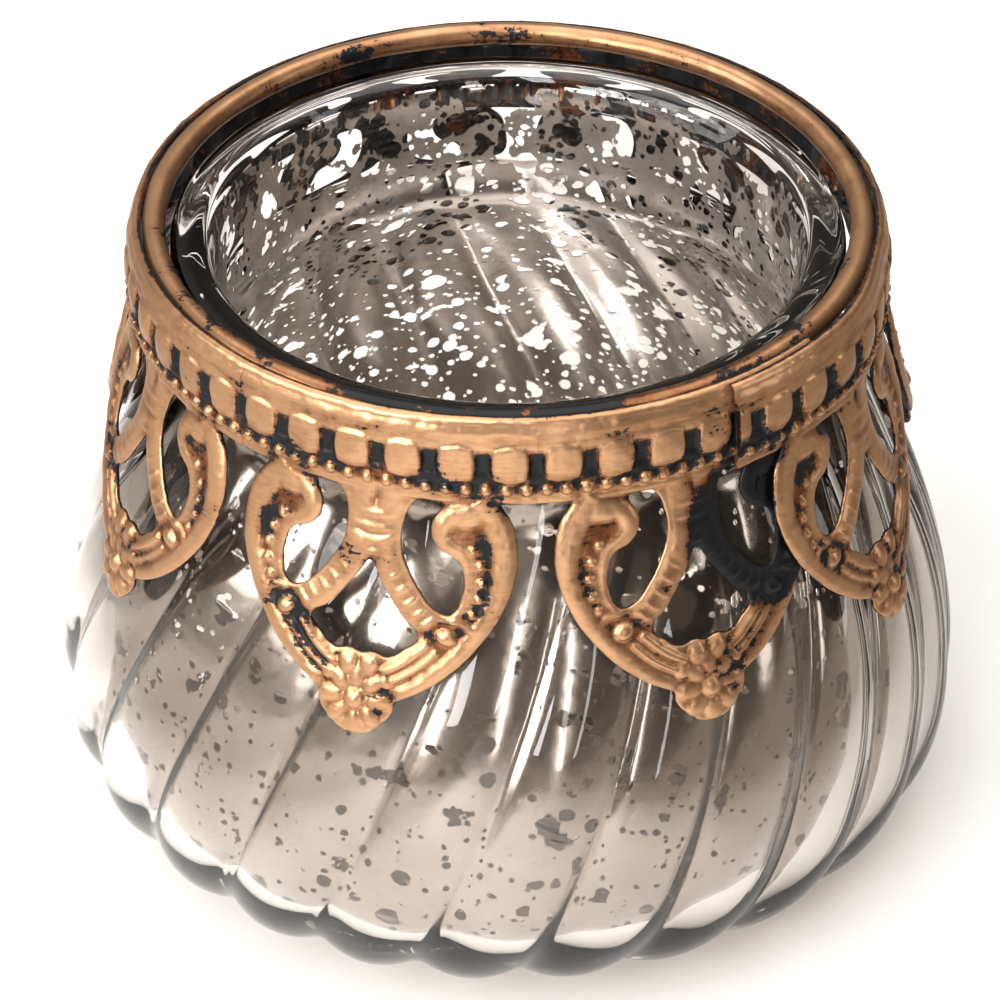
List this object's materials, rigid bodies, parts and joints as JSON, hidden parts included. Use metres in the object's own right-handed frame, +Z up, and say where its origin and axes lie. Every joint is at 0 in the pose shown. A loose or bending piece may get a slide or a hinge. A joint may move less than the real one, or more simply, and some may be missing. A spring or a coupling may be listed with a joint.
{
  "type": "tealight holder",
  "caption": "Squat swirl-ribbed glass bowl, silvered inside, with a loose stamped metal collar of openwork pendants round its neck; holds a tealight.",
  "frame": {"origin": "centre of the resting face, on the bowl's axis", "axes": "+Z up along the bowl's axis; -Y is the front, between two pendants, with the strip's lapped seam just to its right"},
  "size_m": [0.1, 0.1, 0.0758],
  "materials": {
    "glass": "clear blown glass with a faint warm grey tint, glossy",
    "silvering": "antiqued mirror silvering with worn specks",
    "collar": "black paint with copper-gold rubbed over the raised work",
    "wire": "copper-gold rubbed over black, satin",
    "solder": "painted over, dull"
  },
  "bodies": {
    "bowl": {"glass_bowl": "glass", "silver_lining": "silvering"},
    "collar": {"collar_band": "collar", "rim_wire": "wire", "solder_tacks": "solder", "pendant_1": "collar", "pendant_2": "collar", "pendant_3": "collar", "pendant_4": "collar", "pendant_5": "collar", "pendant_6": "collar", "pendant_7": "collar", "pendant_8": "collar"}
  },
  "joints": [
    {"name": "collar_lift", "type": "slide", "parent": "bowl", "child": "collar", "axis": [0, 0, 1], "range_m": [0, 0.045]}
  ]
}
